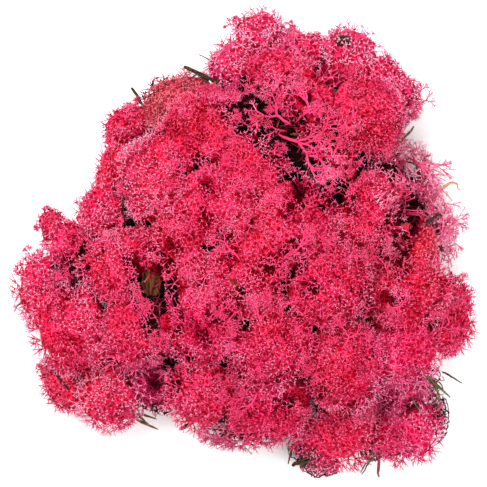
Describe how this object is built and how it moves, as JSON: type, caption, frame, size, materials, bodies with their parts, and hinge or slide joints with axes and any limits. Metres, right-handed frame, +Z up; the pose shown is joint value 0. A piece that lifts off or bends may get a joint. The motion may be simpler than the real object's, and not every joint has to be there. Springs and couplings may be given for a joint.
{
  "type": "reindeer moss clump",
  "caption": "Low, wide clump of dyed pink reindeer moss: rounded cushions of finely forked branchlets on a mat of old dark stems, with caught twigs, needles and bark.",
  "frame": {"origin": "on the flat underside that the clump rests on, beneath the middle of the clump", "axes": "+Z up, through the top of the cushion; +Y towards the back lobe, which is at the top of the picture; +X towards the right of the picture"},
  "size_m": [0.1751, 0.1685, 0.061],
  "materials": {
    "moss_rose": "matt, pink-crimson dye, paler at the tips",
    "moss_crimson": "matt, deeper crimson dye",
    "moss_mauve": "matt, duller purple-pink dye",
    "moss_faded": "matt, brownish pink where little dye took",
    "old_stems": "matt, dark decayed stems",
    "bark": "matt, weathered bark",
    "dry_needle": "low sheen, dry brown needle"
  },
  "bodies": {
    "root": {"bark_crumb": "bark", "bark_flake": "bark", "grass_stem": "dry_needle", "head_back_dome": "moss_rose", "head_back_fan": "moss_rose", "head_back_middle": "moss_rose", "head_back_notch": "moss_rose", "head_back_open": "moss_rose", "head_back_right": "moss_rose", "head_back_shoulder": "moss_rose", "head_corner": "moss_rose", "head_corner_hollow": "moss_mauve", "head_crest": "moss_rose", "head_crest_left": "moss_rose", "head_east_dome": "moss_rose", "head_east_edge": "moss_rose", "head_east_slope": "moss_rose", "head_left_back": "moss_rose", "head_left_dome": "moss_rose", "head_left_faded": "moss_faded", "head_left_foot": "moss_rose", "head_left_front": "moss_rose", "head_left_front_dome": "moss_rose", "head_left_hollow": "moss_mauve", "head_left_inner_dome": "moss_rose", "head_left_knob": "moss_rose", "head_left_outlier": "moss_rose", "head_left_ridge": "moss_rose", "head_left_shoulder": "moss_rose", "head_left_tip": "moss_rose", "head_middle_back": "moss_rose", "head_middle_brink": "moss_rose", "head_middle_east": "moss_rose", "head_middle_left": "moss_rose", "head_middle_south": "moss_rose", "head_middle_south_west": "moss_rose", "head_middle_west": "moss_rose", "head_right_button": "moss_crimson", "head_right_dome": "moss_rose", "head_right_fringe": "moss_mauve", "head_right_hollow": "moss_mauve", "head_right_trail": "moss_mauve", "head_south_dome": "moss_rose", "head_south_east_dome": "moss_rose", "head_south_east_edge": "moss_rose", "head_south_skirt": "moss_mauve", "head_south_west_slope": "moss_rose", "head_summit": "moss_rose", "head_summit_back": "moss_rose", "head_summit_right": "moss_rose", "mat_of_old_stems": "old_stems", "needle_front": "dry_needle", "needles_corner": "dry_needle", "needles_front_left": "dry_needle", "needles_summit": "dry_needle", "stem_inner_left": "bark", "stem_left": "bark", "stick_back": "bark", "stick_front": "bark", "twig_right": "bark"}
  },
  "joints": []
}
